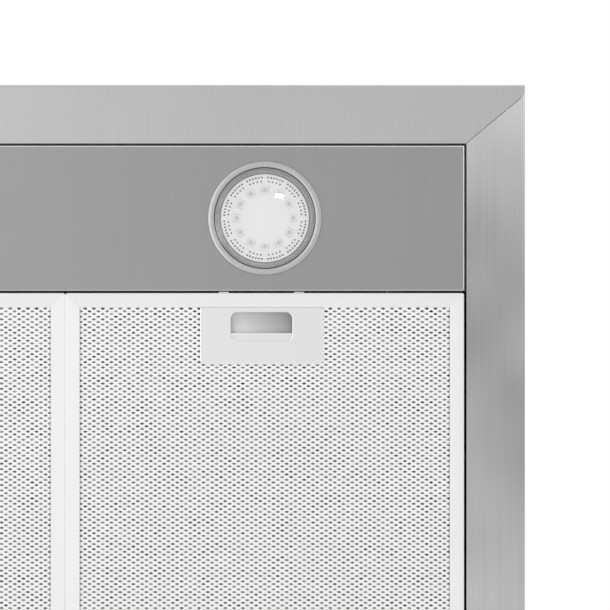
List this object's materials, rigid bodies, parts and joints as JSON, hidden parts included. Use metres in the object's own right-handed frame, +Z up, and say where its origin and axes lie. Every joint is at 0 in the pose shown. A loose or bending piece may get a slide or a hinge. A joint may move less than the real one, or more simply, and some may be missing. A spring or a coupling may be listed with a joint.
{
  "type": "chimney range hood",
  "caption": "Wall-mounted pyramid range hood with a light panel, mesh grease filters on drop-down hinges, a centrifugal blower, a flap damper and a sliding flue cover.",
  "frame": {"origin": "on the wall plane, on the centre line, level with the underside of the rim", "axes": "+Z up, +X to the right seen from the front, +Y into the wall"},
  "size_m": [0.598, 0.49, 0.7075],
  "materials": {
    "brushed_steel": "brushed stainless steel with fine parallel grain",
    "satin_steel": "satin stainless steel",
    "zinc_steel": "galvanised steel sheet",
    "bright_steel": "bright turned or spring steel",
    "chrome_trim": "bright plated trim ring",
    "clear_lens": "clear polished cover",
    "white_board": "white coated circuit board",
    "led_phosphor": "pale chip package",
    "aluminium": "bare aluminium",
    "motor_steel": "black painted motor case",
    "grey_plastic": "dark grey moulded plastic",
    "black_plastic": "black moulded plastic",
    "button_finish": "silver painted plastic",
    "capacitor_case": "white plastic case"
  },
  "bodies": {
    "canopy": {"canopy_front": "brushed_steel", "canopy_side_left": "brushed_steel", "canopy_side_right": "brushed_steel", "flue_lower": "brushed_steel", "light_panel": "satin_steel", "canopy_back": "zinc_steel", "top_deck": "zinc_steel", "blower_scroll": "zinc_steel", "blower_side_left": "zinc_steel", "blower_side_right": "zinc_steel", "junction_box": "zinc_steel", "junction_cover": "zinc_steel", "motor_spider": "zinc_steel", "damper_pin": "bright_steel", "flue_screws": "bright_steel", "lamp_bezel_left": "chrome_trim", "lamp_bezel_right": "chrome_trim", "lamp_lens_left": "clear_lens", "lamp_lens_right": "clear_lens", "lamp_board_left": "white_board", "lamp_board_right": "white_board", "lamp_chips_left": "led_phosphor", "lamp_chips_right": "led_phosphor", "lamp_can_left": "aluminium", "lamp_can_right": "aluminium", "blower_motor": "motor_steel", "outlet_collar": "grey_plastic", "control_insert": "black_plastic", "switch_block": "black_plastic", "cable_gland": "black_plastic", "motor_capacitor": "capacitor_case"},
    "filter_left": {"filter_frame_left": "aluminium", "filter_tabs_left": "aluminium", "filter_mesh_left": "aluminium", "filter_mesh_upper_left": "aluminium", "filter_core_left": "aluminium", "latch_plate_left": "aluminium", "latch_housing_left": "aluminium", "latch_spring_left": "bright_steel"},
    "latch_left": {"latch_slider_left": "aluminium"},
    "filter_right": {"filter_frame_right": "aluminium", "filter_tabs_right": "aluminium", "filter_mesh_right": "aluminium", "filter_mesh_upper_right": "aluminium", "filter_core_right": "aluminium", "latch_plate_right": "aluminium", "latch_housing_right": "aluminium", "latch_spring_right": "bright_steel"},
    "latch_right": {"latch_slider_right": "aluminium"},
    "wheel": {"blower_wheel": "grey_plastic", "blower_shaft": "bright_steel"},
    "damper_rear": {"damper_flap_rear": "grey_plastic"},
    "damper_front": {"damper_flap_front": "grey_plastic"},
    "sliding_flue": {"flue_upper": "brushed_steel", "flue_bracket": "zinc_steel"},
    "button_1": {"button_1": "button_finish"},
    "button_2": {"button_2": "button_finish"},
    "button_3": {"button_3": "button_finish"},
    "button_4": {"button_4": "button_finish"},
    "button_5": {"button_5": "button_finish"}
  },
  "joints": [
    {"name": "flue_slide", "type": "slide", "parent": "canopy", "child": "sliding_flue", "axis": [0, 0, 1], "range_m": [-0.095, 0.15]},
    {"name": "filter_swing_left", "type": "hinge", "parent": "canopy", "child": "filter_left", "pos_m": [-0.1299, -0.03075, 0.00205], "axis": [1, 0, 0], "range_deg": [0, 75]},
    {"name": "latch_slide_left", "type": "slide", "parent": "filter_left", "child": "latch_left", "axis": [0, 1, 0], "range_m": [0, 0.0045], "stiffness_N_per_m": 600, "springref_m": -0.003, "deforming": ["latch_spring_left"]},
    {"name": "filter_swing_right", "type": "hinge", "parent": "canopy", "child": "filter_right", "pos_m": [0.1299, -0.03075, 0.00205], "axis": [1, 0, 0], "range_deg": [0, 75]},
    {"name": "latch_slide_right", "type": "slide", "parent": "filter_right", "child": "latch_right", "axis": [0, 1, 0], "range_m": [0, 0.0045], "stiffness_N_per_m": 600, "springref_m": -0.003, "deforming": ["latch_spring_right"]},
    {"name": "wheel_spin", "type": "hinge", "parent": "canopy", "child": "wheel", "pos_m": [0, -0.1635, 0.1515], "axis": [1, 0, 0], "continuous": true},
    {"name": "damper_swing_rear", "type": "hinge", "parent": "canopy", "child": "damper_rear", "pos_m": [0, -0.1175, 0.2665], "axis": [1, 0, 0], "range_deg": [0, 80]},
    {"name": "damper_swing_front", "type": "hinge", "parent": "canopy", "child": "damper_front", "pos_m": [0, -0.1175, 0.2665], "axis": [-1, 0, 0], "range_deg": [0, 80]},
    {"name": "button_press_1", "type": "slide", "parent": "canopy", "child": "button_1", "axis": [0, 1, 0], "range_m": [0, 0.0025], "stiffness_N_per_m": 800, "springref_m": -0.001},
    {"name": "button_press_2", "type": "slide", "parent": "canopy", "child": "button_2", "axis": [0, 1, 0], "range_m": [0, 0.0025], "stiffness_N_per_m": 800, "springref_m": -0.001},
    {"name": "button_press_3", "type": "slide", "parent": "canopy", "child": "button_3", "axis": [0, 1, 0], "range_m": [0, 0.0025], "stiffness_N_per_m": 800, "springref_m": -0.001},
    {"name": "button_press_4", "type": "slide", "parent": "canopy", "child": "button_4", "axis": [0, 1, 0], "range_m": [0, 0.0025], "stiffness_N_per_m": 800, "springref_m": -0.001},
    {"name": "button_press_5", "type": "slide", "parent": "canopy", "child": "button_5", "axis": [0, 1, 0], "range_m": [0, 0.0025], "stiffness_N_per_m": 800, "springref_m": -0.001}
  ]
}
